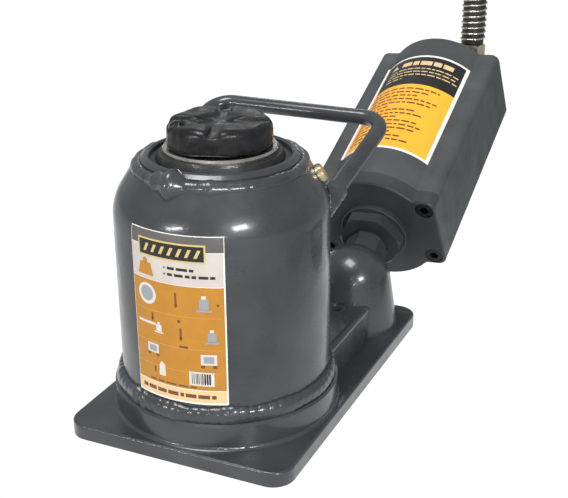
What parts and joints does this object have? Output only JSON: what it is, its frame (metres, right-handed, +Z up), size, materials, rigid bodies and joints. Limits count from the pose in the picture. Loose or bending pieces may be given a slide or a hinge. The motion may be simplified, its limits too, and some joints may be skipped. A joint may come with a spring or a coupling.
{
  "type": "air hydraulic bottle jack",
  "caption": "Low air-driven hydraulic jack: a welded bottle with chromed ram and cast saddle on a base plate, a leaning air motor, carrying handle, and air hose with a squeeze valve.",
  "frame": {"origin": "on the ram's axis, on the base plate's underside", "axes": "+Z up along the ram; -Y is the front, with the bottle; +Y points to the air motor; +X to the right"},
  "size_m": [0.3248, 0.3382, 0.2458],
  "materials": {
    "grey_paint": "semi-gloss",
    "motor_paint": "semi-gloss",
    "dark_paint": "satin",
    "chrome": "polished",
    "black_cast": "rough",
    "steel": "ground",
    "dark_steel": "black oxide",
    "spring_steel": "drawn wire",
    "brass": "machined",
    "aluminium": "satin",
    "seal_rubber": "matte",
    "hose_rubber": "satin",
    "orange_label": "printed film"
  },
  "bodies": {
    "base": {"base_casting": "grey_paint", "valve_plugs": "grey_paint", "reservoir_tube": "grey_paint", "foot_weld": "grey_paint", "head_ring": "grey_paint", "head_weld": "grey_paint", "carry_handle": "grey_paint", "handle_welds": "grey_paint", "motor_housing": "motor_paint", "end_plate": "dark_paint", "motor_flange": "dark_paint", "pump_barrel": "dark_paint", "pressure_cylinder": "steel", "gland_nut": "steel", "air_liner": "steel", "lever_pin": "steel", "quick_plug": "steel", "hose_ferrule": "steel", "motor_screws": "dark_steel", "barrel_washer": "dark_steel", "return_spring": "spring_steel", "spring_guard": "spring_steel", "filler_plug": "brass", "exhaust_muffler": "brass", "inlet_elbow": "brass", "hose_nut": "brass", "distributor": "aluminium", "air_valve": "aluminium", "rod_seal": "seal_rubber", "wiper_seal": "seal_rubber", "plunger_seal": "seal_rubber", "air_hose": "hose_rubber", "hose_coil": "hose_rubber", "bottle_label": "orange_label", "motor_label": "orange_label"},
    "ram": {"ram": "chrome", "ram_piston": "steel", "ram_seal": "seal_rubber"},
    "saddle": {"saddle": "black_cast"},
    "release_valve": {"release_valve": "steel", "release_pin": "steel"},
    "delivery_ball": {"delivery_ball": "steel"},
    "suction_ball": {"suction_ball": "steel"},
    "air_piston": {"air_piston": "aluminium", "piston_seal": "seal_rubber"},
    "shuttle_valve": {"shuttle_valve": "steel"},
    "valve_lever": {"valve_lever": "steel"},
    "valve_stem": {"valve_stem": "steel"}
  },
  "joints": [
    {"name": "ram_lift", "type": "slide", "parent": "base", "child": "ram", "axis": [0, 0, 1], "range_m": [0, 0.075]},
    {"name": "saddle_swivel", "type": "hinge", "parent": "ram", "child": "saddle", "pos_m": [0, 0, 0.137], "axis": [0, 0, 1], "continuous": true},
    {"name": "release_turn", "type": "hinge", "parent": "base", "child": "release_valve", "pos_m": [-0.026, 0.112, 0.016], "axis": [0, 1, 0], "range_deg": [0, 360]},
    {"name": "delivery_lift", "type": "slide", "parent": "base", "child": "delivery_ball", "axis": [0, 0, 1], "range_m": [0, 0.0015]},
    {"name": "suction_lift", "type": "slide", "parent": "base", "child": "suction_ball", "axis": [0, 0, 1], "range_m": [0, 0.0015]},
    {"name": "air_stroke", "type": "slide", "parent": "base", "child": "air_piston", "axis": [0, -0.9135, -0.4067], "range_m": [0, 0.018], "stiffness_N_per_m": 600, "springref_m": -0.03},
    {"name": "shuttle_shift", "type": "slide", "parent": "base", "child": "shuttle_valve", "axis": [0, -0.9135, -0.4067], "range_m": [0, 0.0041]},
    {"name": "lever_press", "type": "hinge", "parent": "base", "child": "valve_lever", "pos_m": [0.258, 0.134, 0.025], "axis": [1, 0, 0], "range_deg": [0, 6], "stiffness_Nm_per_rad": 0.6, "springref_deg": -6.88},
    {"name": "stem_push", "type": "slide", "parent": "base", "child": "valve_stem", "axis": [0, 0, -1], "range_m": [0, 0.0028]}
  ],
  "couplings": [
    {"joint": "shuttle_shift", "follows": "air_stroke", "ratio": 0.2222},
    {"joint": "stem_push", "follows": "lever_press", "m_per_rad": 0.025}
  ]
}
